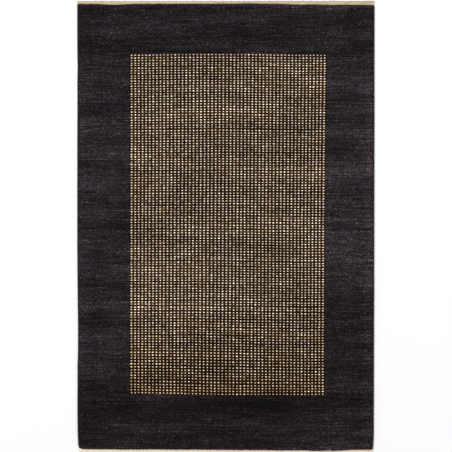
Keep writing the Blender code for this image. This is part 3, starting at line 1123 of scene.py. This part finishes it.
def tubes(paths, radii, sides, squash=1.0):
    """Points and quads of many small tubes, with the count of points in each.

    Each path is a row of points, with a radius for each point.
    """
    count, steps, _ = paths.shape
    forward = np.gradient(paths, axis=1)
    forward /= np.linalg.norm(forward, axis=2, keepdims=True)
    up = np.array([0.0, 0.0, 1.0])
    side = np.cross(forward, up)
    side /= np.maximum(np.linalg.norm(side, axis=2, keepdims=True), 1e-9)
    over = np.cross(side, forward)
    angles = np.arange(sides + 1) * 2 * math.pi / sides
    ring = (
        paths[:, None]
        + (radii[:, None] * np.cos(angles)[None, :, None])[..., None] * side[:, None]
        + (radii[:, None] * np.sin(angles)[None, :, None] * squash)[..., None] * over[:, None]
    )
    faces = grid_faces(sides + 1, steps)
    each = (sides + 1) * steps
    every = (faces[None] + np.arange(count)[:, None, None] * each).reshape(-1, 4)
    return ring.reshape(-1, 3), every, each


def tube_places(count, sides, share):
    """How far round and how far along its tube each point of many tubes is, from 0 to 1."""
    around = np.tile(np.repeat(np.arange(sides + 1), len(share)), count) / sides
    along = np.tile(np.tile(share, sides + 1), count)
    return around, along


def warp_ends(end, material):
    """The warps beyond the web: loose bundles of twisted cotton threads, trimmed short."""
    rng = np.random.default_rng(end.warp_seed)
    left, right, edge = strip_span(end)
    pitch = (right - left) / BUNDLES
    count = BUNDLES * THREADS_IN_BUNDLE
    number = np.arange(count)
    bundle = number // THREADS_IN_BUNDLE
    place = number % THREADS_IN_BUNDLE - (THREADS_IN_BUNDLE - 1) / 2
    centre = left + (bundle + 0.5) * pitch
    lean = rng.normal(0, BUNDLE_LEAN, BUNDLES)[bundle]
    reach = THREAD_BODY * rng.uniform(*BUNDLE_LENGTHS, BUNDLES)[bundle]
    reach = reach * rng.uniform(*THREAD_LENGTHS, count)
    reach = reach * np.where(rng.random(count) < STRAY_SHARE, STRAY_LENGTH, 1.0)
    share = np.linspace(0, 1, THREAD_STEPS)
    start = centre + place * THREAD_SPACING
    spread = rng.uniform(*BUNDLE_BREADTHS, BUNDLES)[bundle]
    finish = centre + place * THREAD_SPACING * spread + lean
    finish = finish + rng.normal(0, THREAD_SCATTER, count)
    x = start[:, None] * (1 - share) + finish[:, None] * share
    wave = share[None] * THREAD_WAVE_TURN + rng.uniform(*THREAD_WAVE_STARTS, count)[:, None]
    x = x + THREAD_WAVE * np.sin(wave)
    y = edge + end.outward * (-THREAD_ROOT + (reach[:, None] + THREAD_ROOT) * share)
    settle = np.clip(share * THREAD_SETTLING, 0, 1)
    z = THREAD_ROOT_HEIGHT * (1 - settle) + (THREAD_RADIUS + THREAD_LIFT) * settle
    z = z[None] + rng.uniform(*THREAD_PILING, count)[:, None] * settle[None]
    swell = rng.uniform(*THREAD_SWELLS, (count, THREAD_STEPS))
    taper = np.where(share > THREAD_TIP_START, THREAD_TIP, 1.0)[None]
    radii = THREAD_RADIUS * rng.uniform(*THREAD_THICKNESSES, count)[:, None] * swell * taper
    points, faces, each = tubes(np.stack([x, y, z], axis=2), radii, THREAD_SIDES)
    points[:, 2] = np.maximum(points[:, 2], FLOOR + THREAD_LIFT)
    uvs = tile_uvs(count, THREAD_SIDES + 1, THREAD_STEPS)
    obj = mesh_object(f"warp_ends_{end.name}", points, faces, uvs)
    around, along = tube_places(count, THREAD_SIDES, share)
    which = np.repeat(number, each) * 2.0
    plies = around * PLIES + along * TURNS_IN_THREAD + which
    give_attribute(obj, "threads", which + 0.5, plies, which)
    obj.data.materials.append(material)
    return obj


def end_tufts(end, material):
    """The pile's last row at an end, tuft by tuft, fallen out over the web by chance amounts."""
    rng = np.random.default_rng(end.tuft_seed)
    columns = np.arange(0.5, KNOTS_ACROSS - 1, 1 / TUFTS_IN_KNOT)
    row = 0 if end.outward > 0 else KNOTS_ALONG - 1
    x, y = knot_grid(columns, np.array([row]))
    x, y = x[:, 0], y[:, 0]
    count = len(columns)
    window = np.ones(TUFT_DRIFT_WINDOW) / TUFT_DRIFT_WINDOW
    drift = np.convolve(rng.normal(0, 1, count + TUFT_DRIFT_WINDOW - 1), window, mode="valid")
    reach = TUFT_REACH + TUFT_REACH_DRIFT * drift + rng.uniform(*TUFT_REACH_CHANCE, count)
    reach = np.clip(reach, *TUFT_REACH_LIMITS)
    share = np.linspace(0, 1, TUFT_STEPS)
    sway = rng.normal(0, TUFT_SWAY, count)
    path_x = x[:, None] + sway[:, None] * share
    path_y = y[:, None] + end.outward * (-TUFT_ROOT + (reach[:, None] + TUFT_ROOT) * share)
    top = PILE_HIGH.z * TUFT_TOP_SHARE + rng.uniform(*TUFT_TOP_CHANCE, count)
    drop = TUFT_DROP + reach * TUFT_DROP_OF_REACH
    path_z = top[:, None] - drop[:, None] * share**TUFT_CURL
    paths = np.stack([path_x, path_y, path_z], axis=2)
    thickness = rng.uniform(*TUFT_THICKNESSES, count)[:, None]
    radii = TUFT_RADIUS * thickness * np.array(TUFT_PROFILE)
    points, faces, each = tubes(paths, radii, TUFT_SIDES, squash=TUFT_SQUASH)
    uvs = tile_uvs(count, TUFT_SIDES + 1, TUFT_STEPS)
    obj = mesh_object(f"end_tufts_{end.name}", points, faces, uvs)
    around, along = tube_places(count, TUFT_SIDES, share)
    u = np.repeat(columns, each) + (around - 0.5) * TUFT_KNOT_BREADTH
    v = row - along * end.outward * TUFT_ROWS_OUT
    give_attribute(obj, "knots", u, v, 0 * u)
    obj.data.materials.append(material)
    return obj


def floor():
    """The pale floor that the rug lies on. It is scenery, and no part of the rug."""
    bpy.ops.mesh.primitive_plane_add(size=FLOOR_SIZE, location=(0, 0, FLOOR))
    plane = bpy.context.object
    plane.name = "pale_floor"
    material, shader, start = new_material(
        "pale_floor_paint", FLOOR_ROUGHNESS, gloss=0.0, sheen=0.0
    )
    place = start.node("ShaderNodeTexCoord", output=3)
    paint = place.noise(FLOOR_MOTTLE).mix(FLOOR_DULL, FLOOR_BRIGHT)
    material.node_tree.links.new(paint.socket, shader.inputs["Base Color"])
    plane.data.materials.append(material)


def area_light(softbox):
    """A round light that faces the rug's middle."""
    data = bpy.data.lights.new(softbox.name, "AREA")
    data.shape = "DISK"
    data.size = softbox.size
    data.energy = softbox.power
    lamp = bpy.data.objects.new(softbox.name, data)
    lamp.location = softbox.place
    lamp.rotation_euler = (-Vector(softbox.place)).to_track_quat("-Z", "Y").to_euler()
    bpy.context.scene.collection.objects.link(lamp)


def studio():
    world = bpy.data.worlds.new("soft_studio")
    world.use_nodes = True
    sky = world.node_tree.nodes["Background"]
    sky.inputs["Color"].default_value = DAYLIGHT
    sky.inputs["Strength"].default_value = SKY_STRENGTH
    bpy.context.scene.world = world
    for softbox in SOFTBOXES:
        area_light(softbox)
    bpy.context.scene.view_settings.view_transform = "Standard"


def camera():
    """The photo's camera, straight above the floor point that the photo is centred on."""
    data = bpy.data.cameras.new("overhead_camera")
    data.sensor_width = SENSOR_WIDTH
    data.lens = SENSOR_WIDTH * CAMERA_HEIGHT / PHOTO_WIDTH
    data.clip_end = FURTHEST_SEEN
    eye = bpy.data.objects.new("overhead_camera", data)
    eye.location = (*PHOTO_CENTRE, CAMERA_HEIGHT + PILE_HIGH.z)
    bpy.context.scene.collection.objects.link(eye)
    bpy.context.scene.camera = eye


def main():
    camera()
    studio()
    floor()
    top_wool = knot_wool("knotted_wool_pile")
    back_wool = knot_wool("knotted_wool_back", crisp=True)
    # The end row: deeper dye and painted shade.
    tuft_wool = knot_wool("knotted_wool_end_row", depth=END_ROW_DYE_AND_SHADE)
    cord_finish = cord_wool()
    cottons = {end: cotton(*finish) for end, finish in COTTONS.items()}
    dark = pile(top_wool)
    back = foundation(back_wool)
    cords = [overcast_cord(side, cord_finish) for side in SIDES]
    webs, warps, tufts = [], [], []
    for end in ENDS:
        webs.append(web(end, cottons[end.name]))
        warps.append(warp_ends(end, cottons[end.name]))
        tufts.append(end_tufts(end, tuft_wool))
    for piece in (*dark, back, *tufts):
        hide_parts("knotted_pile")
    for side, piece in zip(SIDES, cords):
        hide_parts(f"side_cord_{side}")
    for end, strip, threads in zip(ENDS, webs, warps):
        for piece in (strip, threads):
            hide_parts(f"end_strip_{end.name}")
    every = [*dark, *tufts, *cords, *webs, *warps]
    for piece in (back, *every):
        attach(piece, "root")


main()
